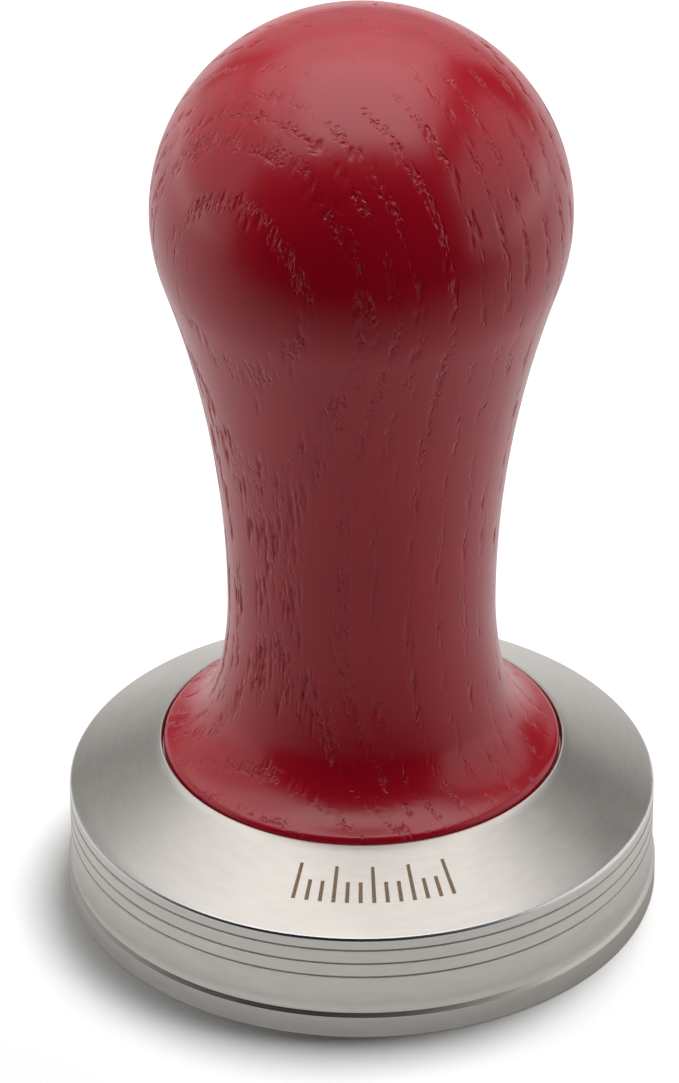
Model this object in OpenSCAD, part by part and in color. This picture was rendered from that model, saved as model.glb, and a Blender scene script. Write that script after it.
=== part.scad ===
// Espresso tamper: a turned steel base with a turned wooden handle screwed onto a stud.
// Frame: millimetres, +Z up along the turning axis, origin at the centre of the flat underside.
// The side of the base that carries the engraved scale faces -Y.

/* [Base] */
// Diameter of the tamping rim, the widest part
base_d = 57.35; // [53:0.05:59]
// Height of the cylindrical rim band
band_h = 2.3; // [1.5:0.1:4]
// How far the side wall stands back from the rim band
wall_step = 0.3; // [0.1:0.05:0.6]
// Height of the side wall above the underside
wall_top_z = 10.9; // [10.6:0.1:12.5]
// Radius of the edge between side wall and sloping shoulder
shoulder_edge_r = 0.45; // [0.2:0.05:0.8]
// Height of the upper end of the shoulder
shoulder_top_z = 15.6; // [14:0.1:17]
// Chamfer on the lower edge of the rim band
bottom_chamfer = 0.15; // [0.1:0.05:0.4]

/* [Grooves] */
// Number of fine grooves around the side wall
groove_count = 3; // [1:1:3]
// Height of the lowest groove
groove_z = 6.65; // [4:0.05:6.7]
// Distance from one groove to the next
groove_pitch = 1.5; // [0.8:0.1:1.7]
// Width of a groove at the wall
groove_w = 0.26; // [0.15:0.01:0.5]
// Depth of a groove
groove_depth = 0.22; // [0.1:0.01:0.4]

/* [Handle seat] */
// Gap all round between the foot of the handle and the wall of its recess
seat_clearance = 0.2; // [0.1:0.05:0.4]
// Width of the narrow flat land around the recess
land_w = 0.22; // [0.15:0.01:0.6]
// Depth of the recess below the land
seat_depth = 1.0; // [0.8:0.1:1.5]
// Thickness of the seat washer
washer_t = 0.5; // [0.3:0.1:0.8]
// Outer diameter of the seat washer
washer_d = 26; // [20:1:32]

/* [Handle] */
// Overall height of the tamper
overall_h = 92; // [86:0.5:100]
// Largest diameter of the knob
knob_d = 39.2; // [36:0.1:44]
// How much the top of the knob is flattened, measured on its radius
knob_flat = 0.4; // [0.2:0.05:1]
// Diameter of the waist
waist_d = 25.6; // [24:0.1:28]
// Radius of the first hollow curve below the waist
flare_upper_r = 40; // [30:1:50]
// Angle that the first hollow curve turns through
flare_upper_angle = 14; // [10:1:18]
// Radius of the second hollow curve, which spreads into the foot
flare_lower_r = 8.3; // [7.5:0.1:8.6]
// Slope of the outline, from upright, where the second hollow curve ends
flare_end_angle = 66; // [60:1:70]
// Radius of the rounded edge of the foot
foot_edge_r = 0.8; // [0.6:0.05:1]
// Height of the upright side of the foot below its rounded edge
foot_side_h = 0.35; // [0.2:0.05:0.6]

/* [Fastening] */
// Nominal diameter of the stud thread
stud_d = 8; // [6:1:8]
// Thread pitch of the stud
stud_pitch = 1.25; // [1:0.25:1.25]
// Length of the stud held in the base
stud_in_base = 9; // [7:0.5:10]
// Turns of thread that hold the handle
thread_turns = 10; // [8:1:10]
// Radial clearance between the stud and the thread of the insert
thread_clearance = 0.05; // [0.02:0.01:0.1]
// Outer diameter of the threaded insert
insert_d = 12; // [11:0.5:13]
// Length of the threaded insert
insert_len = 15; // [13:0.5:18]

/* [Hidden] */
$fn = 96;

// Foot of the handle
seat_floor_z = shoulder_top_z - seat_depth;
foot_z = seat_floor_z + washer_t;
foot_edge_z = foot_z + foot_side_h;

// Handle outline: centres of its arcs and the points where they meet, as [radius, height].
// Each hollow arc is tangent to the next, and the neck arc is tangent to the knob.
flare_upper_dir = [cos(flare_upper_angle), sin(flare_upper_angle)];
flare_end_dir = [cos(flare_end_angle), sin(flare_end_angle)];
waist_r = waist_d / 2;
waist_z = foot_edge_z
    + flare_upper_r * flare_upper_dir.y
    + flare_lower_r * (flare_end_dir.y - flare_upper_dir.y)
    + foot_edge_r * flare_end_dir.y;
flare_upper_c = [waist_r + flare_upper_r, waist_z];
flare_joint = flare_upper_c - flare_upper_r * flare_upper_dir;
flare_lower_c = flare_joint + flare_lower_r * flare_upper_dir;
flare_end = flare_lower_c - flare_lower_r * flare_end_dir;
foot_edge_c = flare_end - foot_edge_r * flare_end_dir;
foot_r = foot_edge_c.x + foot_edge_r;
knob_r = knob_d / 2 - knob_flat;
knob_c = [knob_flat, overall_h - knob_r];
knob_rise = knob_c.y - waist_z;
neck_r = (pow(waist_r - knob_c.x, 2) + pow(knob_rise, 2) - pow(knob_r, 2)) / (knob_d - waist_d);
neck_c = [waist_r + neck_r, waist_z];
neck_joint = knob_c + (neck_c - knob_c) * knob_r / (knob_r + neck_r);
core_inset = 0.5;

// Base
base_r = base_d / 2;
wall_r = base_r - wall_step;
seat_r = foot_r + seat_clearance;
land_r = seat_r + land_w;
seat_edge = 0.1;
shoulder_angle = atan2(shoulder_top_z - wall_top_z, wall_r - land_r);
shoulder_edge_c = [
    wall_r - shoulder_edge_r,
    wall_top_z - shoulder_edge_r * tan((90 - shoulder_angle) / 2)
];
shoulder_edge_top = shoulder_edge_c + shoulder_edge_r * [sin(shoulder_angle), cos(shoulder_angle)];

// Fastening
stud_r = stud_d / 2;
stud_tip = 0.6;
stud_bottom_z = seat_floor_z - stud_in_base;
stud_hole_bottom_z = stud_bottom_z - stud_tip;
stud_top_z = foot_z + thread_turns * stud_pitch;
socket_d = 4;
socket_depth = 3.5;
insert_r = insert_d / 2;
insert_flange_r = insert_r + 1.2;
insert_flange_t = 1;
insert_top_z = foot_z + insert_len;
pilot_r = stud_r + 0.5;
handle_hole_top_z = insert_top_z + 2;
washer_hole_r = stud_r + 0.3;
cut = 1;

// A disc-shaped slice from z0 to z1 of the half plane, out to radius r
module slice(r, z0, z1) {
    translate([0, z0]) square([r, z1 - z0]);
}

// A circle of the outline at the point c
module disc(c, r) {
    translate(c) circle(r = r, $fn = 180);
}

// Half section of the base, without its stud hole
module base_section() {
    difference() {
        union() {
            polygon([
                [0, 0],
                [base_r - bottom_chamfer, 0],
                [base_r, bottom_chamfer],
                [base_r, band_h],
                [wall_r, band_h + wall_step],
                [wall_r, shoulder_edge_c.y],
                shoulder_edge_c,
                shoulder_edge_top,
                [land_r, shoulder_top_z],
                [seat_r + seat_edge, shoulder_top_z],
                [seat_r, shoulder_top_z - seat_edge],
                [seat_r, seat_floor_z],
                [0, seat_floor_z]
            ]);
            intersection() {
                disc(shoulder_edge_c, shoulder_edge_r);
                translate(shoulder_edge_c) square(2 * shoulder_edge_r);
            }
        }
        for (i = [0 : groove_count - 1])
            translate([wall_r, groove_z + i * groove_pitch])
                polygon([
                    [groove_depth, -groove_w / 2],
                    [groove_depth, groove_w / 2],
                    [0, groove_w / 2],
                    [-groove_depth, groove_w / 6],
                    [-groove_depth, -groove_w / 6],
                    [0, -groove_w / 2]
                ]);
    }
}

// Solid of revolution: rim, step, grooved wall, sloping shoulder and the seat for the handle
module base() {
    color("silver")
    difference() {
        rotate_extrude() base_section();
        translate([0, 0, stud_hole_bottom_z])
            cylinder(r = stud_r, h = seat_floor_z - stud_hole_bottom_z + cut);
    }
}

// Headless stud with a chamfer at each end and a hexagonal key socket in its top
module stud() {
    color("lightgray")
    difference() {
        union() {
            translate([0, 0, stud_bottom_z + stud_tip])
                cylinder(r = stud_r, h = stud_top_z - stud_bottom_z - 2 * stud_tip);
            translate([0, 0, stud_bottom_z])
                cylinder(r1 = stud_r - stud_tip, r2 = stud_r, h = stud_tip);
            translate([0, 0, stud_top_z - stud_tip])
                cylinder(r1 = stud_r, r2 = stud_r - stud_tip, h = stud_tip);
        }
        translate([0, 0, stud_top_z - socket_depth])
            cylinder(d = socket_d / cos(30), h = socket_depth + cut, $fn = 6);
    }
}

// Flat ring between the seat in the base and the foot of the handle
module seat_washer() {
    color("dimgray")
    translate([0, 0, seat_floor_z])
        difference() {
            cylinder(d = washer_d, h = washer_t);
            translate([0, 0, -cut]) cylinder(r = washer_hole_r, h = washer_t + 2 * cut);
        }
}

// Half section of the handle, built up from the foot to the knob
module handle_section() {
    // core that runs through every part of the outline
    slice(waist_r - core_inset, foot_z, knob_c.y);
    // foot with its rounded edge
    slice(foot_r, foot_z, foot_edge_c.y);
    slice(flare_end.x, foot_edge_c.y, flare_end.y);
    intersection() {
        disc(foot_edge_c, foot_edge_r);
        translate([0, foot_edge_c.y]) square([foot_r + 1, foot_edge_r + 1]);
    }
    // second hollow curve
    difference() {
        slice(flare_end.x, flare_end.y, flare_joint.y);
        disc(flare_lower_c, flare_lower_r);
    }
    // first hollow curve
    difference() {
        slice(flare_joint.x, flare_joint.y, waist_z);
        disc(flare_upper_c, flare_upper_r);
    }
    // long neck curve
    difference() {
        slice(neck_joint.x, waist_z, neck_joint.y);
        disc(neck_c, neck_r);
    }
    // knob
    intersection() {
        union() {
            disc(knob_c, knob_r);
            slice(knob_c.x, neck_joint.y, overall_h);
        }
        translate([0, neck_joint.y]) square([knob_d, overall_h]);
    }
}

// Turned wooden handle with a stepped hole for the insert
module handle() {
    color("firebrick")
    difference() {
        rotate_extrude() handle_section();
        translate([0, 0, foot_z - cut]) cylinder(r = insert_flange_r, h = insert_flange_t + cut);
        translate([0, 0, foot_z - cut]) cylinder(r = insert_r, h = insert_len + cut);
        translate([0, 0, foot_z]) cylinder(r = pilot_r, h = handle_hole_top_z - foot_z);
    }
}

// Flanged sleeve pressed into the handle, with the thread that takes the stud
module threaded_insert() {
    color("goldenrod")
    difference() {
        union() {
            translate([0, 0, foot_z]) cylinder(r = insert_r, h = insert_len);
            translate([0, 0, foot_z]) cylinder(r = insert_flange_r, h = insert_flange_t);
        }
        translate([0, 0, foot_z - cut])
            cylinder(r = stud_r + thread_clearance, h = insert_len + 2 * cut);
    }
}

base();
stud();
seat_washer();
handle();
threaded_insert();
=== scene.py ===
"""Espresso tamper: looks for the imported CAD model, in metres, +Z up, camera side -Y."""

import itertools
import math

import bmesh
import bpy
import numpy as np
from mathutils import Matrix, Vector


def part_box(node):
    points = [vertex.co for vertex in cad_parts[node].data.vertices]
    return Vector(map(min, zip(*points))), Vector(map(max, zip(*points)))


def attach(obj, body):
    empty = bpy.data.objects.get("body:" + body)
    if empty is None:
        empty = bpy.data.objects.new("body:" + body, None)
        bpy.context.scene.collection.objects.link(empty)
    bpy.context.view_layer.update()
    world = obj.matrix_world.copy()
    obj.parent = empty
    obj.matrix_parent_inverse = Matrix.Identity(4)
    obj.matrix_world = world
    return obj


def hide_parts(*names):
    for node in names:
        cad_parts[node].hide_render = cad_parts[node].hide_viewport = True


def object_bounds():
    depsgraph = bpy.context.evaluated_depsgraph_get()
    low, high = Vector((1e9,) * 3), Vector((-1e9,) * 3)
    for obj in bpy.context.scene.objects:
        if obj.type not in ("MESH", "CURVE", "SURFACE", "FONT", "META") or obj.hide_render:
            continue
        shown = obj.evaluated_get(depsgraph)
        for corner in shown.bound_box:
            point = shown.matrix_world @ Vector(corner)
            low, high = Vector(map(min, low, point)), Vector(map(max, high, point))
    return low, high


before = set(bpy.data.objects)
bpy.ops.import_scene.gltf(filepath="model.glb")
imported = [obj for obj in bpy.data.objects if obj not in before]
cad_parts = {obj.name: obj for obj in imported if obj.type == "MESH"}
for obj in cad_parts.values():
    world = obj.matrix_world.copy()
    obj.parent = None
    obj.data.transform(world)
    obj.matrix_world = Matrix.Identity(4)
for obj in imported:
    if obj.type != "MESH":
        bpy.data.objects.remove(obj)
cad_low, cad_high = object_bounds()

MM = 0.001
TAU = 2.0 * math.pi


# ---------------------------------------------------------------- sizes from the frame, in mm
def node_box(node):
    """The lowest and highest corner of a CAD node at rest."""
    low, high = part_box(node)
    return np.array(low) / MM, np.array(high) / MM


BASE_HIGH = node_box("base")[1]
HANDLE_LOW, HANDLE_HIGH = node_box("handle")
STUD_LOW, STUD_HIGH = node_box("stud")
WASHER_LOW, WASHER_HIGH = node_box("seat_washer")
INSERT_LOW, INSERT_HIGH = node_box("threaded_insert")

BASE_R = round(BASE_HIGH[0], 2)
BASE_TOP = BASE_HIGH[2]
FOOT_Z = HANDLE_LOW[2]
TOP_Z = HANDLE_HIGH[2]
KNOB_MAX_R = round(HANDLE_HIGH[0], 2)
SEAT_Z = WASHER_LOW[2]

# rim, step, wall and shoulder of the base
BAND_H = 2.3
WALL_STEP = 0.3
WALL_R = BASE_R - WALL_STEP
WALL_TOP_Z = 10.9
SHOULDER_EDGE_R = 0.45
BOTTOM_CHAMFER = 0.15
GROOVE_Z = (6.65, 8.15, 9.65)
GROOVE_W = 0.26
GROOVE_DEPTH = 0.22
LIP = 0.03
BAND_EDGE = 0.04
SEAT_EDGE = 0.1
HOLE_CHAMFER = 0.3
# the innermost ring of a skin, which a pole closes
HUB_R = 0.4

# handle outline: a knob, a long neck curve, two flare curves and a rounded foot edge
WAIST_R = 12.8
KNOB_FLAT = 0.4
FLARE_UPPER_R = 40.0
FLARE_UPPER_ANGLE = math.radians(14)
FLARE_LOWER_R = 8.3
FLARE_END_ANGLE = math.radians(66)
FOOT_EDGE_R = 0.8
FOOT_SIDE_H = 0.35
SEAT_CLEARANCE = 0.2
LAND_W = 0.22

# fastening
STUD_R = 4.0
PITCH = 1.25
THREAD_DEPTH = 0.6
THREAD_FLAT = 0.14
THREAD_GAP = 0.05
INSERT_R = 6.0
INSERT_FLANGE_R = 7.2
INSERT_FLANGE_T = 1.0
KNURL_COUNT = 24
KNURL_DEPTH = 0.12
PILOT_R = 4.5
HOLE_TOP_Z = INSERT_HIGH[2] + 2.0
SOCKET_AF = 4.0
SOCKET_DEPTH = 3.5


# ---------------------------------------------------------------- outline helpers
def arc(centre, radius, start, end, steps):
    """Points on an arc of the half section, from angle start to end in radians."""
    angles = np.linspace(start, end, steps + 1)
    return [
        (centre[0] + radius * math.cos(a), centre[1] + radius * math.sin(a))
        for a in angles
    ]


def line(a, b, steps):
    """Points from a to b, without a itself."""
    return [
        (a[0] + (b[0] - a[0]) * i / steps, a[1] + (b[1] - a[1]) * i / steps)
        for i in range(1, steps + 1)
    ]


def handle_curves():
    """The centres of the outline's arcs and the points where they meet."""
    foot_edge_z = FOOT_Z + FOOT_SIDE_H
    up, end = FLARE_UPPER_ANGLE, FLARE_END_ANGLE
    waist_z = (
        foot_edge_z
        + FLARE_UPPER_R * math.sin(up)
        + FLARE_LOWER_R * (math.sin(end) - math.sin(up))
        + FOOT_EDGE_R * math.sin(end)
    )
    upper_c = (WAIST_R + FLARE_UPPER_R, waist_z)
    joint = (
        upper_c[0] - FLARE_UPPER_R * math.cos(up),
        upper_c[1] - FLARE_UPPER_R * math.sin(up),
    )
    lower_c = (
        joint[0] + FLARE_LOWER_R * math.cos(up),
        joint[1] + FLARE_LOWER_R * math.sin(up),
    )
    flare_end = (
        lower_c[0] - FLARE_LOWER_R * math.cos(end),
        lower_c[1] - FLARE_LOWER_R * math.sin(end),
    )
    foot_c = (
        flare_end[0] - FOOT_EDGE_R * math.cos(end),
        flare_end[1] - FOOT_EDGE_R * math.sin(end),
    )
    knob_r = KNOB_MAX_R - KNOB_FLAT
    knob_c = (KNOB_FLAT, TOP_Z - knob_r)
    rise = knob_c[1] - waist_z
    neck_r = ((WAIST_R - knob_c[0]) ** 2 + rise**2 - knob_r**2) / (
        2 * KNOB_MAX_R - 2 * WAIST_R
    )
    neck_c = (WAIST_R + neck_r, waist_z)
    return {
        "upper_c": upper_c,
        "lower_c": lower_c,
        "foot_c": foot_c,
        "knob_c": knob_c,
        "knob_r": knob_r,
        "neck_c": neck_c,
        "neck_r": neck_r,
        "foot_r": foot_c[0] + FOOT_EDGE_R,
    }


CURVES = handle_curves()
FOOT_R = CURVES["foot_r"]
SEAT_R = FOOT_R + SEAT_CLEARANCE
LAND_R = SEAT_R + LAND_W


# ---------------------------------------------------------------- mesh helpers
def grid_mesh(name, radius, height, angles, close_start, close_end, zone=None):
    """A closed skin of rows that run round the Z axis.

    radius and height have one row per ring, in mm. close_start and close_end are the
    heights of a pole that closes the skin, or None. zone gives a material per face."""
    rows, cols = radius.shape
    x = radius * np.sin(angles)
    y = -radius * np.cos(angles)
    verts = np.stack([x, y, height], axis=-1).reshape(-1, 3)
    index = np.arange(rows * cols).reshape(rows, cols)
    nxt = np.roll(index, -1, axis=1)
    faces = np.stack([index[:-1], nxt[:-1], nxt[1:], index[1:]], axis=-1).reshape(-1, 4)
    faces = [tuple(f) for f in faces.tolist()]
    extra = []
    if close_start is not None:
        pole = len(verts) + len(extra)
        extra.append((0.0, 0.0, close_start))
        faces += [(pole, int(b), int(a)) for a, b in zip(index[0], nxt[0])]
    if close_end is not None:
        pole = len(verts) + len(extra)
        extra.append((0.0, 0.0, close_end))
        faces += [(pole, int(a), int(b)) for a, b in zip(index[-1], nxt[-1])]
    if extra:
        verts = np.vstack([verts, np.array(extra)])
    mesh = bpy.data.meshes.new(name)
    mesh.from_pydata((verts * MM).tolist(), [], faces)
    mesh.update()
    if zone is not None:
        flat = list(zone.reshape(-1)) + [int(zone[0, 0])] * cols + [int(zone[-1, 0])] * cols
        mesh.polygons.foreach_set(
            "material_index", np.array(flat[: len(mesh.polygons)], dtype=np.int32)
        )
    return mesh


def ring_rows(rows, cols):
    """Grids of radius and height from rows of a radius, or one per column, and a height."""
    radius = np.vstack([np.broadcast_to(r, (1, cols)) for r, _ in rows])
    height = np.vstack([np.full((1, cols), z) for _, z in rows])
    return radius, height


def add_object(mesh, body, nodes, sharp_deg, materials):
    """Links a mesh as a piece that rides on a body and stands for CAD nodes."""
    mesh.shade_smooth()
    mesh.set_sharp_from_angle(angle=math.radians(sharp_deg))
    obj = bpy.data.objects.new(mesh.name, mesh)
    bpy.context.scene.collection.objects.link(obj)
    for material in materials:
        mesh.materials.append(material)
    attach(obj, body)
    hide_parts(*nodes)
    return obj


# ---------------------------------------------------------------- shader helpers
class Shader:
    """A short way to write node trees."""

    def __init__(self, name):
        self.material = bpy.data.materials.new(name)
        self.material.use_nodes = True
        self.tree = self.material.node_tree
        self.tree.nodes.clear()
        self.out = self.node("ShaderNodeOutputMaterial")
        self.bsdf = self.node("ShaderNodeBsdfPrincipled")
        self.link(self.bsdf.outputs["BSDF"], self.out.inputs["Surface"])

    def node(self, kind, **settings):
        made = self.tree.nodes.new(kind)
        for key, value in settings.items():
            setattr(made, key, value)
        return made

    def link(self, a, b):
        self.tree.links.new(a, b)

    def put(self, socket, value):
        """Sets a socket to a number or colour, or links it to another socket."""
        if isinstance(value, bpy.types.NodeSocket):
            self.link(value, socket)
        else:
            socket.default_value = value

    def math(self, operation, a, b=0.0, c=0.0):
        made = self.node("ShaderNodeMath", operation=operation)
        for socket, value in zip(made.inputs, (a, b, c)):
            self.put(socket, value)
        return made.outputs[0]

    def vector(self, operation, a, b=(0.0, 0.0, 0.0)):
        made = self.node("ShaderNodeVectorMath", operation=operation)
        self.put(made.inputs[0], a)
        self.put(made.inputs[1], b)
        return made.outputs["Vector"]

    def position(self):
        """The surface's place in its own object, in metres, so it moves with the piece."""
        return self.node("ShaderNodeTexCoord").outputs["Object"]

    def split(self, vector):
        made = self.node("ShaderNodeSeparateXYZ")
        self.link(vector, made.inputs[0])
        return made.outputs

    def join(self, *parts):
        made = self.node("ShaderNodeCombineXYZ")
        for socket, part in zip(made.inputs, parts):
            self.put(socket, part)
        return made.outputs[0]

    def length(self, vector):
        made = self.node("ShaderNodeVectorMath", operation="LENGTH")
        self.link(vector, made.inputs[0])
        return made.outputs["Value"]

    def ramp(self, value, low, high, out_low=0.0, out_high=1.0, smooth=True):
        made = self.node("ShaderNodeMapRange")
        made.interpolation_type = "SMOOTHSTEP" if smooth else "LINEAR"
        self.put(made.inputs["Value"], value)
        for key, number in (
            ("From Min", low),
            ("From Max", high),
            ("To Min", out_low),
            ("To Max", out_high),
        ):
            self.put(made.inputs[key], number)
        return made.outputs["Result"]

    def noise(self, vector, scale, detail=2.0, rough=0.5):
        made = self.node("ShaderNodeTexNoise")
        self.put(made.inputs["Vector"], vector)
        made.inputs["Scale"].default_value = scale
        made.inputs["Detail"].default_value = detail
        made.inputs["Roughness"].default_value = rough
        return made.outputs["Fac"]

    def mix(self, factor, a, b, blend="MIX"):
        made = self.node("ShaderNodeMix", data_type="RGBA", blend_type=blend)
        self.put(made.inputs[0], factor)
        self.put(made.inputs[6], a)
        self.put(made.inputs[7], b)
        return made.outputs[2]

    def attribute(self, name):
        made = self.node("ShaderNodeAttribute", attribute_name=name)
        return made.outputs["Fac"]

    def bump(self, height, distance):
        made = self.node("ShaderNodeBump")
        made.inputs["Strength"].default_value = 1.0
        made.inputs["Distance"].default_value = distance
        self.put(made.inputs["Height"], height)
        return made.outputs["Normal"]

    def set(self, **values):
        names = {
            "color": "Base Color",
            "rough": "Roughness",
            "metal": "Metallic",
            "normal": "Normal",
            "spec": "Specular IOR Level",
            "aniso": "Anisotropic",
            "tangent": "Tangent",
        }
        for key, value in values.items():
            self.put(self.bsdf.inputs[names[key]], value)


def srgb(r, g, b):
    """A colour given as 0 to 255 screen values, as linear RGBA."""
    linear = []
    for v in (r, g, b):
        s = v / 255.0
        linear.append(s / 12.92 if s <= 0.04045 else ((s + 0.055) / 1.055) ** 2.4)
    return (*linear, 1.0)


# ---------------------------------------------------------------- materials
# the part of its range that a noise mostly stays in
SPAN = (0.3, 0.7)
# how fast the noises of the steel change along their way round, and the streaks across it
LINE_AROUND = 1.4
STREAK_AROUND = 9.0
STREAK_ACROSS = 1500.0

RED_LOW = (0.353, 0.0016, 0.0125, 1)
RED_HIGH = (0.385, 0.0022, 0.014, 1)
RED_BAND = (0.332, 0.0014, 0.012, 1)
# the darker red that paints shade into the pores
RED_PORE_SHADE = (0.20, 0.0005, 0.004, 1)
TINT = 0.12
PORE_ROUGH = 0.04
FIBRE_RISE = 0.02
TURNING_RISE = 0.035
PEEL_RISE = 0.04
LACQUER_BUMP = 0.00012


def steel(name, color, rough, aniso, line_bump, line_scale, streak):
    """Turned stainless steel: fine lines run round the axis and stretch the highlights."""
    s = Shader(name)
    place = s.position()
    x, y, z = s.split(place)
    flat = s.join(x, y)
    # radius minus height counts the lines on the shoulder, the wall and the faces alike
    across = s.math("SUBTRACT", s.length(flat), z)
    around_x, around_y, _ = s.split(s.vector("NORMALIZE", flat))

    def lines(around_scale, across_scale):
        return s.join(
            s.math("MULTIPLY", around_x, around_scale),
            s.math("MULTIPLY", around_y, around_scale),
            s.math("MULTIPLY", across, across_scale),
        )

    fine = s.noise(lines(LINE_AROUND, line_scale), 1.0, 3.0, 0.65)
    broad = s.noise(lines(STREAK_AROUND, STREAK_ACROSS), 1.0, 2.0, 0.6)
    smudge = s.noise(place, 90.0, 3.0, 0.55)
    dimmest = 1.0 - 0.5 * streak
    tone = s.math("MULTIPLY_ADD", fine, streak, dimmest)
    tone = s.math("MULTIPLY", tone, s.ramp(broad, 0.25, 0.75, dimmest, 1.0))
    shade = s.node("ShaderNodeVectorMath", operation="SCALE")
    shade.inputs[0].default_value = color
    s.link(tone, shade.inputs["Scale"])
    wear = s.ramp(smudge, *SPAN, -0.02, 0.03)
    grain = s.math("MULTIPLY_ADD", fine, 0.08, rough - 0.04)
    tangent = s.node("ShaderNodeTangent", direction_type="RADIAL", axis="Z")
    s.set(
        color=shade.outputs[0],
        rough=s.math("ADD", grain, wear),
        metal=1.0,
        aniso=aniso,
        tangent=tangent.outputs[0],
        normal=s.bump(fine, line_bump),
    )
    return s.material


def lacquer():
    """Red satin lacquer over open-pored ash: slits, ring bands and turning marks."""
    s = Shader("red_lacquered_ash")
    place = s.position()
    pore = s.attribute("pore")
    band = s.attribute("band")
    # ragged slits between the modelled pits, long with the grain and in patches
    slit = s.noise(s.vector("MULTIPLY", place, (1.0, 1.0, 0.34)), 3000.0)
    patch = s.noise(s.vector("MULTIPLY", place, (1.0, 1.0, 0.45)), 520.0)
    inside = s.math("MULTIPLY", s.ramp(band, 0.0, 0.8), s.ramp(patch, 0.42, 0.62, 0.08, 1.0))
    pit = s.math("MULTIPLY", s.ramp(slit, 0.48, 0.76, smooth=False), inside)
    # faint grain lines along Z and faint turning marks round it
    fibre = s.noise(s.vector("MULTIPLY", place, (1.0, 1.0, 0.03)), 1900.0, 2.0, 0.6)
    turning = s.noise(s.vector("MULTIPLY", place, (0.02, 0.02, 1.0)), 1400.0)
    orange_peel = s.noise(place, 420.0)
    height = s.math("MULTIPLY", pit, -1.0)
    height = s.math("MULTIPLY_ADD", fibre, FIBRE_RISE, height)
    height = s.math("MULTIPLY_ADD", turning, TURNING_RISE, height)
    height = s.math("MULTIPLY_ADD", orange_peel, PEEL_RISE, height)
    hole = s.math("MAXIMUM", s.ramp(pit, 0.3, 0.8, 0.0, 0.5), pore)
    cloud = s.noise(place, 130.0)
    red = s.mix(s.ramp(cloud, *SPAN), RED_LOW, RED_HIGH)
    red = s.mix(s.math("MULTIPLY", band, TINT), red, RED_BAND)
    # painted shade: the colour turns a darker red in the pores and slits, where shade falls inside
    # the pits
    red = s.mix(s.math("MULTIPLY", hole, TINT), red, RED_PORE_SHADE)
    rough = s.ramp(cloud, *SPAN, 0.24, 0.27)
    s.set(
        color=red,
        rough=s.math("MULTIPLY_ADD", hole, PORE_ROUGH, rough),
        spec=0.5,
        normal=s.bump(height, LACQUER_BUMP),
    )
    return s.material


def speckled(name, noise, colors, rough, metal, bump, stretch=(1.0, 1.0, 1.0)):
    """A material whose colour and bump, and its roughness if it varies, follow one noise."""
    s = Shader(name)
    marks = s.noise(s.vector("MULTIPLY", s.position(), stretch), *noise)
    s.set(
        color=s.mix(s.ramp(marks, *SPAN), srgb(*colors[0]), srgb(*colors[1])),
        rough=s.ramp(marks, *SPAN, *rough) if isinstance(rough, tuple) else rough,
        metal=metal,
        normal=s.bump(marks, bump),
    )
    return s.material


# One stainless steel in four zones. Its base colour is painted light and shade by zone. It is
# lightest on the edges, as a painted highlight, lighter on the wall, darker on the shoulder, and
# darkest in the grooves, as painted shade. The roughness, stretch and lines of each zone are the
# turned finish.
STEEL_SHOULDER = steel("steel_shoulder", (0.635, 0.60, 0.56), 0.34, 0.60, 3e-6, 16000.0, 0.12)
STEEL_WALL = steel("steel_wall", (0.70, 0.664, 0.617), 0.36, 0.80, 4e-6, 12000.0, 0.14)
STEEL_EDGE_HIGHLIGHT = steel("steel_edge_highlight", (0.76, 0.755, 0.75), 0.26, 0.70, 1e-6, 16000.0, 0.05)
STEEL_GROOVE_SHADED = steel("steel_groove_shaded", (0.60, 0.575, 0.54), 0.36, 0.4, 4e-6, 16000.0, 0.15)
# the dark bottom of the engraved strokes
ENGRAVED_STEEL = speckled(
    "engraved_steel", (6000.0, 3.0, 0.6), ((132, 110, 86), (176, 154, 126)), (0.5, 0.65), 0.6, 1e-5
)
LACQUERED_ASH = lacquer()
# bare ash on the underside and in the bore of the handle
BARE_ASH = speckled(
    "stained_ash", (900.0, 3.0, 0.6), ((120, 24, 24), (168, 60, 48)), 0.7, 0.0, 6e-5,
    stretch=(1.0, 1.0, 0.05),
)
BRASS = speckled(
    "insert_brass", (5000.0, 2.0, 0.5), ((196, 160, 92), (214, 180, 112)), (0.24, 0.34), 1.0, 2e-5,
    stretch=(0.1, 0.1, 1.0),
)
ZINC = speckled(
    "stud_zinc", (900.0, 3.0, 0.6), ((176, 178, 182), (206, 208, 210)), (0.28, 0.4), 1.0, 1e-5
)
RUBBER = speckled(
    "washer_rubber", (5200.0, 3.0, 0.6), ((26, 26, 27), (44, 44, 46)), (0.6, 0.75), 0.0, 3e-5
)


# ---------------------------------------------------------------- base
SCALE_COUNT = 13
SCALE_PITCH = 1.2
SCALE_STROKE = 0.32
SCALE_WALL = 0.03
SCALE_DEPTH = 0.035
SCALE_MID_R = 23.2
SCALE_CENTRE_X = 1.0
LONG_R = (21.55, 24.9)
SHORT_R = (23.0, 24.9)
LONG_EVERY = 3
BASE_COLS = 300
# the material slots of the base
SHOULDER, WALL, EDGE, GROOVE, ENGRAVED = range(5)


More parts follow.
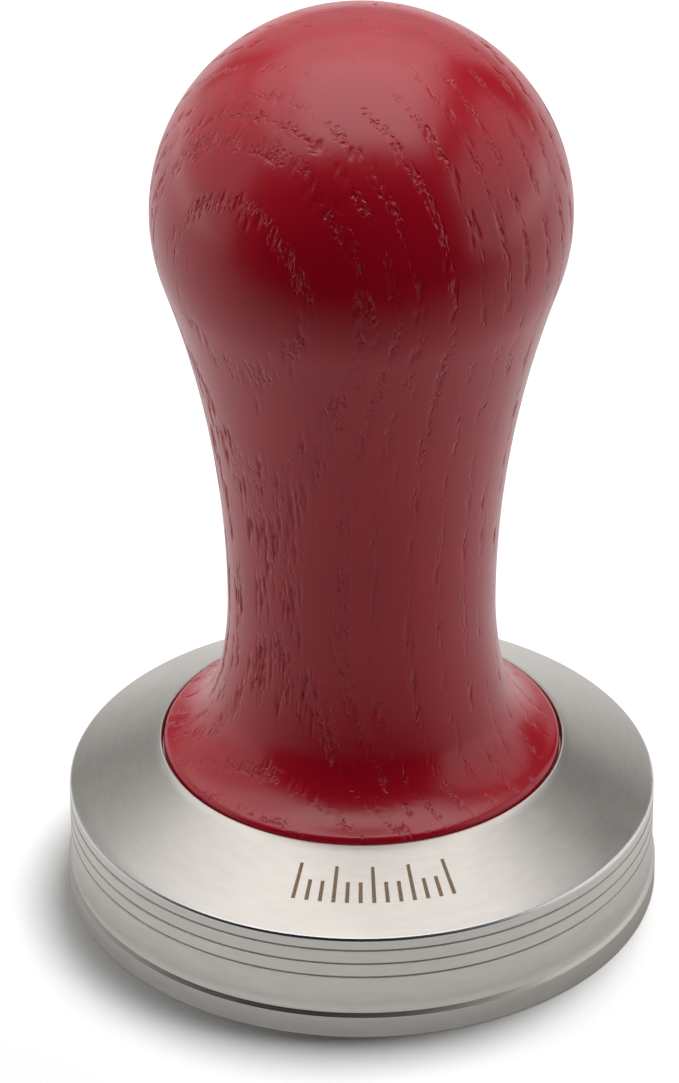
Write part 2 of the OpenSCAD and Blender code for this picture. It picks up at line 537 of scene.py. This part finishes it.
def base_outline():
    """Half section of the base with a material zone for each stretch."""
    shoulder = math.atan2(BASE_TOP - WALL_TOP_Z, WALL_R - LAND_R)
    edge_c = (
        WALL_R - SHOULDER_EDGE_R,
        WALL_TOP_Z - SHOULDER_EDGE_R * math.tan((math.pi / 2 - shoulder) / 2),
    )
    points, zones = [(HUB_R, 0.0)], []

    def go(new, zone):
        points.extend(new)
        zones.extend([zone] * len(new))

    def to(end, zone, steps=1):
        go(line(points[-1], end, steps), zone)

    to((BASE_R - BOTTOM_CHAMFER - 0.8, 0.0), WALL, 14)
    to((BASE_R - BOTTOM_CHAMFER, 0.0), WALL, 2)
    to((BASE_R, BOTTOM_CHAMFER), EDGE, 2)
    to((BASE_R, BAND_H - BAND_EDGE), WALL, 4)
    to((BASE_R - LIP, BAND_H), WALL)
    to((WALL_R + LIP, BAND_H + WALL_STEP - LIP), WALL, 3)
    to((WALL_R, BAND_H + WALL_STEP + LIP), WALL)
    half = GROOVE_W / 2
    for z in GROOVE_Z:
        to((WALL_R, z - half - LIP), WALL, 4)
        to((WALL_R - LIP, z - half), GROOVE)
        to((WALL_R - GROOVE_DEPTH, z - half / 3), GROOVE, 2)
        to((WALL_R - GROOVE_DEPTH, z + half / 3), GROOVE)
        to((WALL_R - LIP, z + half), GROOVE, 2)
        to((WALL_R, z + half + LIP), GROOVE)
    to((WALL_R, edge_c[1]), WALL, 3)
    go(arc(edge_c, SHOULDER_EDGE_R, 0.0, math.pi / 2 - shoulder, 8)[1:], EDGE)
    low = points[-1]
    high = (LAND_R, BASE_TOP)

    def on_cone(r):
        t = (low[0] - r) / (low[0] - high[0])
        return (r, low[1] + (high[1] - low[1]) * t)

    # rings that the engraved strokes end on
    stops = []
    for r in (LONG_R[1], SHORT_R[0], LONG_R[0]):
        stops += [r + SCALE_WALL / 2, r - SCALE_WALL / 2]
    for r in [26.6] + stops:
        steps = max(1, round((points[-1][0] - r) / 0.7))
        to(on_cone(r), SHOULDER, steps)
    to(on_cone(LAND_R + 0.05), SHOULDER, 3)
    to((LAND_R - LIP, BASE_TOP), SHOULDER, 2)
    to((SEAT_R + 0.08, BASE_TOP), SHOULDER)
    to((SEAT_R, BASE_TOP - SEAT_EDGE), WALL, 3)
    to((SEAT_R, SEAT_Z + SEAT_EDGE), WALL, 2)
    to((SEAT_R - SEAT_EDGE, SEAT_Z), WALL, 2)
    to((STUD_R + HOLE_CHAMFER, SEAT_Z), SHOULDER, 12)
    to((STUD_R, SEAT_Z - HOLE_CHAMFER), EDGE, 2)
    to((STUD_R, STUD_LOW[2] - 0.4), WALL, 4)
    to((HUB_R, STUD_LOW[2] - 0.6), WALL, 3)
    return np.array(points), np.array(zones), shoulder


def make_base():
    points, zones, shoulder = base_outline()
    mid = SCALE_CENTRE_X / SCALE_MID_R
    strokes = [
        mid + (i - (SCALE_COUNT - 1) / 2) * SCALE_PITCH / SCALE_MID_R
        for i in range(SCALE_COUNT)
    ]
    half = SCALE_STROKE / 2 / SCALE_MID_R
    wall = SCALE_WALL / SCALE_MID_R
    lines = []
    for a in strokes:
        lines += [a - half - wall, a - half, a + half, a + half + wall]
    first, last = lines[0], lines[-1]
    rest = np.linspace(last, first + TAU, BASE_COLS)[1:-1]
    angles = np.array(lines + list(rest))
    rows, cols = len(points), len(angles)
    radius = np.repeat(points[:, :1], cols, axis=1)
    height = np.repeat(points[:, 1:], cols, axis=1)
    zone = np.repeat(zones[:, None], cols, axis=1)
    on_cone = np.zeros(rows, bool)
    on_cone[:-1] = zones == SHOULDER
    on_cone &= points[:, 1] > WALL_TOP_Z
    for i, a in enumerate(strokes):
        low, high = LONG_R if i % LONG_EVERY == 0 else SHORT_R
        inside = on_cone & (points[:, 0] > low) & (points[:, 0] < high)
        ring = np.where(inside)[0]
        cut = slice(4 * i + 1, 4 * i + 3)
        radius[ring, cut] -= SCALE_DEPTH * math.sin(shoulder)
        height[ring, cut] -= SCALE_DEPTH * math.cos(shoulder)
        zone[ring[0] : ring[-1], 4 * i + 1] = ENGRAVED
    mesh = grid_mesh("base_turned", radius, height, angles, 0.0, STUD_LOW[2] - 0.7, zone)
    return add_object(
        mesh,
        "base_body",
        ["base"],
        30.0,
        [STEEL_SHOULDER, STEEL_WALL, STEEL_EDGE_HIGHLIGHT, STEEL_GROOVE_SHADED, ENGRAVED_STEEL],
    )


# ---------------------------------------------------------------- handle
# Growth rings stand nearly upright and cross the handle from front left to back right.
RING_AZIMUTH = math.radians(-38.0)
WIDE_RING = 13.95
RINGS = np.array(
    [20.2, 17.1, WIDE_RING, 12.05, 10.25, 7.4, 4.3, 1.4]
    + [-1.1, -4.5, -7.6, -10.4, -13.6, -16.4, -19.4]
)
RING_HALF_W = np.where(RINGS == WIDE_RING, 0.76, 0.52)
RING_FADE = 0.30
RING_MID_Z = 50.0
RING_BEND = (-0.044, 0.00056, -0.00236, 0.00045)
# how far the rings stray: amount, cell size and salt of each noise
RING_WOBBLE = ((0.22, (6.0, 6.0, 20.0), 3), (0.10, (1.6, 1.6, 7.0), 5))
SEED = 41

# pits: cell size, half width and half length, and salt
LARGE_PITS = ((0.55, 0.55, 2.2), (0.20, 0.85), 11)
SMALL_PITS = ((0.42, 0.42, 1.4), (0.15, 0.55), 31)
SMALL_PIT_DEPTH = 0.7
PATCH = ((1.6, 1.6, 3.2), 23)
WAVE = ((9.0, 9.0, 24.0), 17)
STRAY_SHARE = 0.004
BAND_SHARE = 0.9
PIT_DEPTH = 0.15
FIGURE_DEPTH = 0.07
FLARE_FILL = 0.45
WAVE_DEPTH = 0.02
FOOT_MARGIN = 0.6
FOOT_MID_R = 13.0
KNOB_FINE_ANGLE = math.radians(25)
POLE_ANGLE = 0.012
HANDLE_COLS = 650
# the material slots of the handle
LACQUERED, BARE = range(2)


def hash_cells(i, j, k, salt):
    """A repeatable random number from 0 to 1 for each lattice cell."""
    mask = np.uint64(0xFFFFFFFF)
    h = (
        i.astype(np.int64) * 73856093
        ^ j.astype(np.int64) * 19349663
        ^ k.astype(np.int64) * 83492791
        ^ (salt * 2654435761 + SEED)
    ).astype(np.uint64) & mask
    for shift, factor in ((16, 0x7FEB352D), (15, 0x846CA68B)):
        h = (h ^ (h >> np.uint64(shift))) & mask
        h = (h * np.uint64(factor)) & mask
    h = h ^ (h >> np.uint64(16))
    return h.astype(np.float64) / 4294967295.0


def share_of(value, start, end):
    """0 at start, 1 at end and straight between them."""
    return np.clip((value - start) / (end - start), 0.0, 1.0)


def value_noise(p, size, salt):
    """Smooth noise from -1 to 1, with one random value per cell of that size."""
    q = p / np.array(size)
    base = np.floor(q).astype(np.int64)
    f = q - base
    f = f * f * (3 - 2 * f)
    total = np.zeros(len(p))
    for dx, dy, dz in itertools.product((0, 1), repeat=3):
        weight = (
            (f[:, 0] if dx else 1 - f[:, 0])
            * (f[:, 1] if dy else 1 - f[:, 1])
            * (f[:, 2] if dz else 1 - f[:, 2])
        )
        total += weight * hash_cells(base[:, 0] + dx, base[:, 1] + dy, base[:, 2] + dz, salt)
    return total * 2 - 1


def band_of(p):
    """How much earlywood there is at each point: 1 in a pored band and 0 outside it."""
    across = p[:, 0] * math.sin(RING_AZIMUTH) - p[:, 1] * math.cos(RING_AZIMUTH)
    along = -p[:, 0] * math.cos(RING_AZIMUTH) - p[:, 1] * math.sin(RING_AZIMUTH)
    rise = p[:, 2] - RING_MID_Z
    lean, bow, curve, twist = RING_BEND
    level = across + lean * rise + bow * rise**2 + curve * along**2 + twist * along * rise
    for amount, size, salt in RING_WOBBLE:
        level = level + amount * value_noise(p, size, salt)
    inset = (RING_HALF_W[None, :] - np.abs(level[:, None] - RINGS[None, :])).max(axis=1)
    return np.clip(inset / RING_FADE, 0.0, 1.0)


def open_share(p):
    """How open the pores stay: the lacquer fills them on the crown and down the right side."""
    right = share_of(p[:, 0], 2.0, 7.0)
    neck = share_of(p[:, 2], 66.0, 52.0)
    crown = share_of(p[:, 2], 86.0, 90.0)
    return (1.0 - 0.5 * right * neck) * (1.0 - 0.65 * crown)


def pits_at(p, size, radii, salt, share):
    """Depth from 0 to 1 of long pits scattered on a jittered lattice."""
    q = p / np.array(size)
    base = np.floor(q).astype(np.int64)
    deepest = np.zeros(len(p))
    for dx, dy, dz in itertools.product((-1, 0, 1), repeat=3):
        cell = (base[:, 0] + dx, base[:, 1] + dy, base[:, 2] + dz)
        centre = np.stack(
            [(c + hash_cells(*cell, salt + n)) * size[n] for n, c in enumerate(cell)], axis=-1
        )
        grow = 0.6 + 0.7 * hash_cells(*cell, salt + 7)
        kept = hash_cells(*cell, salt + 9) < share(centre)
        flat = np.hypot(p[:, 0] - centre[:, 0], p[:, 1] - centre[:, 1])
        far = np.hypot(flat / radii[0], (p[:, 2] - centre[:, 2]) / (radii[1] * grow))
        depth = np.clip(1 - far * far / grow, 0.0, 1.0) ** 0.7
        deepest = np.maximum(deepest, depth * kept)
    return deepest


def handle_outline():
    """Points on the outer half section, from the foot to just short of the top."""
    c = CURVES
    up, end = FLARE_UPPER_ANGLE, FLARE_END_ANGLE
    points = [(FOOT_R, FOOT_Z + 0.05)]
    points += line(points[0], (FOOT_R, FOOT_Z + FOOT_SIDE_H), 1)
    points += arc(c["foot_c"], FOOT_EDGE_R, 0.0, end, 5)[1:]
    points += arc(c["lower_c"], FLARE_LOWER_R, math.pi + end, math.pi + up, 16)[1:]
    points += arc(c["upper_c"], FLARE_UPPER_R, math.pi + up, math.pi, 12)[1:]
    knob_dir = math.atan2(c["neck_c"][1] - c["knob_c"][1], c["neck_c"][0] - c["knob_c"][0])
    neck_end = math.pi + knob_dir
    points += arc(c["neck_c"], c["neck_r"], math.pi, neck_end, 36)[1:]
    points += arc(c["knob_c"], c["knob_r"], knob_dir, KNOB_FINE_ANGLE, 30)[1:]
    top = math.pi / 2 - POLE_ANGLE
    points += arc(c["knob_c"], c["knob_r"], KNOB_FINE_ANGLE, top, 44)[1:]
    return np.array(points)


def make_handle():
    outer = handle_outline()
    step = np.gradient(outer, axis=0)
    normal = np.stack([step[:, 1], -step[:, 0]], axis=-1)
    normal /= np.linalg.norm(normal, axis=1)[:, None]
    angles = np.linspace(0, TAU, HANDLE_COLS, endpoint=False)
    rows = len(outer)
    r0 = np.repeat(outer[:, :1], HANDLE_COLS, axis=1)
    z0 = np.repeat(outer[:, 1:], HANDLE_COLS, axis=1)
    p = np.stack([r0 * np.sin(angles), -r0 * np.cos(angles), z0], axis=-1).reshape(-1, 3)
    band = band_of(p) * open_share(p)

    def share(centre):
        patch = np.clip(0.55 + 1.3 * value_noise(centre, *PATCH), 0.06, 1.0)
        return STRAY_SHARE + BAND_SHARE * band_of(centre) * open_share(centre) * patch

    pits = pits_at(p, *LARGE_PITS, share)
    pits = np.maximum(pits, SMALL_PIT_DEPTH * pits_at(p, *SMALL_PITS, share))
    fade = share_of(p[:, 2], FOOT_Z + FOOT_MARGIN, FOOT_Z + 2 * FOOT_MARGIN)
    # the pores lie most open in the dense figure at the left front of the waist
    figure = share_of(p[:, 0], -2.0, -5.0) * share_of(p[:, 2], 60.0, 52.0)
    flare = share_of(p[:, 2], 26.0, 21.0)
    depth = (PIT_DEPTH + FIGURE_DEPTH * figure) * (1.0 - FLARE_FILL * flare) * pits * fade
    wave = np.clip(WAVE_DEPTH * value_noise(p, *WAVE), -WAVE_DEPTH, 0.0)
    depth = (depth - wave * fade).reshape(rows, HANDLE_COLS)
    radius = r0 - depth * normal[:, :1]
    height = z0 - depth * normal[:, 1:]
    inner = [
        (PILOT_R, HOLE_TOP_Z),
        (PILOT_R, INSERT_HIGH[2]),
        (INSERT_R, INSERT_HIGH[2]),
        (INSERT_R, FOOT_Z + INSERT_FLANGE_T),
        (INSERT_FLANGE_R, FOOT_Z + INSERT_FLANGE_T),
        (INSERT_FLANGE_R, FOOT_Z),
        (FOOT_MID_R, FOOT_Z),
        (FOOT_R - 0.05, FOOT_Z),
    ]
    inner_radius, inner_height = ring_rows(inner, HANDLE_COLS)
    radius = np.vstack([inner_radius, radius])
    height = np.vstack([inner_height, height])
    zone = np.full((len(radius) - 1, HANDLE_COLS), LACQUERED, dtype=np.int32)
    zone[: len(inner)] = BARE
    mesh = grid_mesh("handle_turned", radius, height, angles, HOLE_TOP_Z, TOP_Z, zone)
    pad = np.zeros(len(inner) * HANDLE_COLS)
    for name, values in (("pore", pits * fade), ("band", band)):
        full = np.concatenate([pad, values, [0.0, 0.0]])
        layer = mesh.attributes.new(name, "FLOAT", "POINT")
        layer.data.foreach_set("value", full.astype(np.float32))
    # of the two last fans of faces, one closes the bore and is bare, one closes the top
    count = len(mesh.polygons)
    index = np.zeros(count, dtype=np.int32)
    mesh.polygons.foreach_get("material_index", index)
    index[count - 2 * HANDLE_COLS : count - HANDLE_COLS] = BARE
    index[count - HANDLE_COLS :] = LACQUERED
    mesh.polygons.foreach_set("material_index", index)
    return add_object(
        mesh,
        "handle_body",
        ["handle"],
        50.0,
        [LACQUERED_ASH, BARE_ASH],
    )


# ---------------------------------------------------------------- stud, insert and washer
def thread_profile(angles, heights, crest, root):
    """Radius of a right-handed 60 degree thread at each angle and height."""
    phase = (heights[:, None] / PITCH - angles[None, :] / TAU) % 1.0
    slope = np.abs(phase - 0.5) * 2.0
    rise = np.clip((slope - THREAD_FLAT) / (1.0 - 2.0 * THREAD_FLAT), 0.0, 1.0)
    return root + (crest - root) * rise


STUD_COLS = 72
STUD_RINGS = 200
INSERT_COLS = 96
INSERT_RINGS = 150
WASHER_COLS = 128
WASHER_EDGE = 0.06


def make_stud():
    angles = np.linspace(0, TAU, STUD_COLS, endpoint=False)
    low, high = STUD_LOW[2], STUD_HIGH[2]
    heights = np.linspace(low, high, STUD_RINGS)
    body = thread_profile(angles, heights, STUD_R, STUD_R - THREAD_DEPTH)
    from_end = np.minimum(heights - low, high - heights)
    body = np.minimum(body, (STUD_R - THREAD_DEPTH + from_end)[:, None])
    apart = (angles + TAU / 12) % (TAU / 6) - TAU / 12
    hexagon = SOCKET_AF / 2 / np.cos(apart)
    floor_z = high - SOCKET_DEPTH
    socket = [
        (hexagon + 0.15, high),
        (hexagon, high - 0.15),
        (hexagon, floor_z + 0.05),
        (hexagon - 0.05, floor_z),
        (HUB_R, floor_z - 0.3),
    ]
    radius, height = ring_rows(list(zip(body, heights)) + socket, STUD_COLS)
    mesh = grid_mesh("stud_threaded", radius, height, angles, low, floor_z - 0.35)
    return add_object(mesh, "base_body", ["stud"], 40.0, [ZINC])


def make_insert():
    angles = np.linspace(0, TAU, INSERT_COLS, endpoint=False)
    low, high = INSERT_LOW[2], INSERT_HIGH[2]
    bore_r = STUD_R + THREAD_GAP
    heights = np.linspace(high - 0.02, low + 0.02, INSERT_RINGS)
    bore = thread_profile(angles, heights, bore_r, bore_r - THREAD_DEPTH)
    mouth = np.clip(bore_r - (heights - low), 0.0, None)
    bore = np.maximum(bore, mouth[:, None])
    knurl = KNURL_DEPTH * (np.abs((angles * KNURL_COUNT / TAU) % 1.0 - 0.5) * 2.0)
    outer = [
        (INSERT_FLANGE_R - 0.15, low),
        (INSERT_FLANGE_R, low + 0.15),
        (INSERT_FLANGE_R, low + INSERT_FLANGE_T),
        (INSERT_R, low + INSERT_FLANGE_T),
        (INSERT_R - knurl, low + INSERT_FLANGE_T + 0.4),
        (INSERT_R - knurl, high - 0.4),
        (INSERT_R - 0.3, high),
        (bore_r + 0.2, high),
    ]
    radius, height = ring_rows(outer + list(zip(bore, heights)) + outer[:1], INSERT_COLS)
    mesh = grid_mesh("insert_threaded", radius, height, angles, None, None)
    weld(mesh)
    return add_object(
        mesh, "handle_body", ["threaded_insert"], 40.0, [BRASS]
    )


def weld(mesh):
    """Joins the first and last ring of a skin that closes on itself."""
    bm = bmesh.new()
    bm.from_mesh(mesh)
    bmesh.ops.remove_doubles(bm, verts=bm.verts, dist=1e-7)
    bm.to_mesh(mesh)
    bm.free()
    mesh.update()


def make_washer():
    angles = np.linspace(0, TAU, WASHER_COLS, endpoint=False)
    low, high = WASHER_LOW[2], WASHER_HIGH[2]
    outer, inner = WASHER_HIGH[0], STUD_R + 0.3
    ring = [
        (inner + WASHER_EDGE, low),
        (outer - WASHER_EDGE, low),
        (outer, low + WASHER_EDGE),
        (outer, high - WASHER_EDGE),
        (outer - WASHER_EDGE, high),
        (outer - 0.9, high),
        (outer - 1.0, high - 0.03),
        (inner + 1.1, high - 0.03),
        (inner + 1.0, high),
        (inner + WASHER_EDGE, high),
        (inner, high - WASHER_EDGE),
        (inner, low + WASHER_EDGE),
        (inner + WASHER_EDGE, low),
    ]
    radius, height = ring_rows(ring, WASHER_COLS)
    mesh = grid_mesh("washer_ring", radius, height, angles, None, None)
    weld(mesh)
    return add_object(
        mesh, "washer_body", ["seat_washer"], 50.0, [RUBBER]
    )


base_piece = make_base()
handle_piece = make_handle()
make_stud()
make_insert()
make_washer()


# ---------------------------------------------------------------- floor, lights and camera
FLOOR_SIZE = 6.0
FLOOR_GLOW = 0.88
# the glow fades between these two values of Y, and is half as strong right at the rim
GLOW_Y = (-0.21, 0.06)
RIM_SHADE = (0.0287, 0.036, 0.5, 1.0)
# how the floor's own light starts, in metres from the middle, and how strong it gets
FAR_LIGHT = (0.22, 0.75, 0.0, 0.95)
WORLD_LEVEL = 0.01
BACKDROP_LEVEL = 0.93
FILL_CENTRE = (0.0, -0.155, -0.325)
FILL_TARGET = (0.0, 0.0, 0.05)
FILL_SIZE = 0.30
FILL_LEVEL = 2.0


def make_floor():
    """A white floor. All rays but the camera's meet a glow instead, which fades to the front."""
    s = Shader("pale_floor")
    place = s.position()
    speck = s.noise(place, 60.0, 3.0, 0.5)
    s.set(
        color=s.mix(s.ramp(speck, 0.3, 0.7), (0.90, 0.90, 0.90, 1), (0.92, 0.92, 0.92, 1)),
        rough=0.9,
        spec=0.0,
    )
    far = s.length(place)
    lit = s.ramp(s.split(place)[1], *GLOW_Y, 0.0, FLOOR_GLOW)
    lit = s.math("MULTIPLY", lit, s.ramp(far, *RIM_SHADE))
    glow = s.node("ShaderNodeEmission")
    s.link(lit, glow.inputs["Strength"])
    # beyond the reach of the soft boxes the floor stays pale by itself
    s.bsdf.inputs["Emission Color"].default_value = (1.0, 1.0, 1.0, 1.0)
    s.link(s.ramp(far, *FAR_LIGHT), s.bsdf.inputs["Emission Strength"])
    ray = s.node("ShaderNodeLightPath")
    pick = s.node("ShaderNodeMixShader")
    s.link(ray.outputs["Is Camera Ray"], pick.inputs[0])
    s.link(glow.outputs[0], pick.inputs[1])
    s.link(s.bsdf.outputs[0], pick.inputs[2])
    s.link(pick.outputs[0], s.out.inputs["Surface"])
    bm = bmesh.new()
    bmesh.ops.create_grid(bm, x_segments=8, y_segments=8, size=FLOOR_SIZE)
    mesh = bpy.data.meshes.new("floor")
    bm.to_mesh(mesh)
    bm.free()
    mesh.materials.append(s.material)
    floor = bpy.data.objects.new("floor", mesh)
    bpy.context.scene.collection.objects.link(floor)
    floor.location = (0.0, 0.0, cad_low.z)
    return floor


def group(name, objects, state="INCLUDE"):
    """A set of objects that a lamp lights, or leaves out."""
    made = bpy.data.collections.new(name)
    for obj in objects:
        made.objects.link(obj)
    for item in made.collection_objects:
        item.light_linking.link_state = state
    return made


def soft_box(name, centre, target, width, height, radiance, color=(1.0, 1.0, 1.0)):
    """A rectangular soft box that faces the target and glows with one radiance."""
    lamp = bpy.data.lights.new(name, "AREA")
    lamp.shape = "RECTANGLE"
    lamp.size = width
    lamp.size_y = height
    lamp.energy = radiance * math.pi * width * height
    lamp.color = color
    box = bpy.data.objects.new(name, lamp)
    bpy.context.scene.collection.objects.link(box)
    way = Vector(target) - Vector(centre)
    box.location = centre
    box.rotation_euler = way.to_track_quat("-Z", "Y").to_euler()
    box.visible_camera = False
    return box


def light(boxes, receivers, blockers=None):
    """Soft boxes that light only some objects. Each has a name, a centre, the way it faces,
    a width, a height and a radiance."""
    for name, centre, facing, width, height, radiance in boxes:
        target = Vector(centre) + Vector(facing)
        box = soft_box(name, centre, target, width, height, radiance)
        box.light_linking.receiver_collection = receivers
        if blockers:
            box.light_linking.blocker_collection = blockers


DOWN, LEFT, RIGHT, FRONT = (0, 0, -1), (-1, 0, 0), (1, 0, 0), (0, -1, 0)
HANDLE_BOXES = [
    ("left_box", (-0.45, 0.25, 0.22), RIGHT, 0.80, 0.44, 0.80),
    ("right_box", (0.45, 0.035, 0.22), LEFT, 0.63, 0.44, 0.95),
    ("back_low", (0.065, 0.95, 0.15), FRONT, 1.10, 0.30, 0.42),
    ("back_high", (0.065, 0.95, 0.60), FRONT, 1.10, 0.60, 0.8),
    ("top_box", (-0.15, 0.32, 0.95), DOWN, 1.60, 1.55, 1.65),
    ("top_inner", (0.0, 0.10, 0.94), DOWN, 0.90, 0.90, 1.15),
]
STEEL_BOXES = [
    ("steel_left", (-0.45, 0.28, 0.22), RIGHT, 0.72, 0.44, 0.45),
    ("steel_right", (0.45, 0.035, 0.22), LEFT, 0.63, 0.44, 0.95),
    ("steel_back", (0.13, 0.95, 0.20), FRONT, 1.24, 0.40, 0.74),
    ("steel_top", (-0.075, 0.32, 0.95), DOWN, 1.39, 1.55, 1.5),
]
FLOOR_BOXES = [
    ("floor_main", (0.169, 0.216, 0.60), DOWN, 0.335, 0.416, 11.2),
    ("floor_side", (-0.236, 0.242, 0.60), DOWN, 0.894, 0.391, 1.75),
]

floor = make_floor()
floor_only = group("floor_only", [floor])
base_only = group("base_only", [base_piece])
light(HANDLE_BOXES, group("not_floor_or_base", [floor, base_piece], "EXCLUDE"))
light(STEEL_BOXES, base_only)
# A fill from low in front lifts the underside of the knob and the neck, without any gloss.
# The floor doesn't block it.
wood_only = group("wood_only", [handle_piece])
fill = soft_box("fill", FILL_CENTRE, FILL_TARGET, FILL_SIZE, FILL_SIZE, FILL_LEVEL)
fill.visible_glossy = False
fill.light_linking.receiver_collection = wood_only
fill.light_linking.blocker_collection = wood_only
light(FLOOR_BOXES, floor_only, base_only)

world = bpy.data.worlds.new("studio")
world.use_nodes = True
background = world.node_tree.nodes["Background"]
background.inputs["Color"].default_value = (1.0, 1.0, 1.0, 1.0)
# the backdrop is pale to the camera but throws hardly any light
ray = world.node_tree.nodes.new("ShaderNodeLightPath")
level = world.node_tree.nodes.new("ShaderNodeMath")
level.operation = "MULTIPLY_ADD"
level.inputs[1].default_value = BACKDROP_LEVEL - WORLD_LEVEL
level.inputs[2].default_value = WORLD_LEVEL
world.node_tree.links.new(ray.outputs["Is Camera Ray"], level.inputs[0])
world.node_tree.links.new(level.outputs[0], background.inputs["Strength"])
bpy.context.scene.world = world

# The camera looks slightly down at the front of the tamper through a long lens.
CAMERA_DISTANCE = 0.600
CAMERA_TILT = math.radians(31.1)
CAMERA_ROLL = math.radians(-0.15)
CAMERA_TARGET = Vector((-0.0021, 0.0, 0.03728))
FOCAL_PIXELS = 6314.0
IMAGE_HEIGHT = 1083.0

camera = bpy.data.cameras.new("camera")
camera.sensor_width = 36.0
camera.lens = FOCAL_PIXELS / IMAGE_HEIGHT * camera.sensor_width
camera.clip_start = 0.05
camera.clip_end = 20.0
eye = bpy.data.objects.new("camera", camera)
bpy.context.scene.collection.objects.link(eye)
bpy.context.scene.camera = eye
forward = Vector((0.0, math.cos(CAMERA_TILT), -math.sin(CAMERA_TILT)))
right0 = Vector((1.0, 0.0, 0.0))
up0 = Vector((0.0, math.sin(CAMERA_TILT), math.cos(CAMERA_TILT)))
right = right0 * math.cos(CAMERA_ROLL) + up0 * math.sin(CAMERA_ROLL)
up = up0 * math.cos(CAMERA_ROLL) - right0 * math.sin(CAMERA_ROLL)
turn = Matrix((right, up, -forward)).transposed().to_4x4()
eye.matrix_world = Matrix.Translation(CAMERA_TARGET - forward * CAMERA_DISTANCE) @ turn

bpy.context.scene.view_settings.view_transform = "Standard"

bpy.context.view_layer.update()
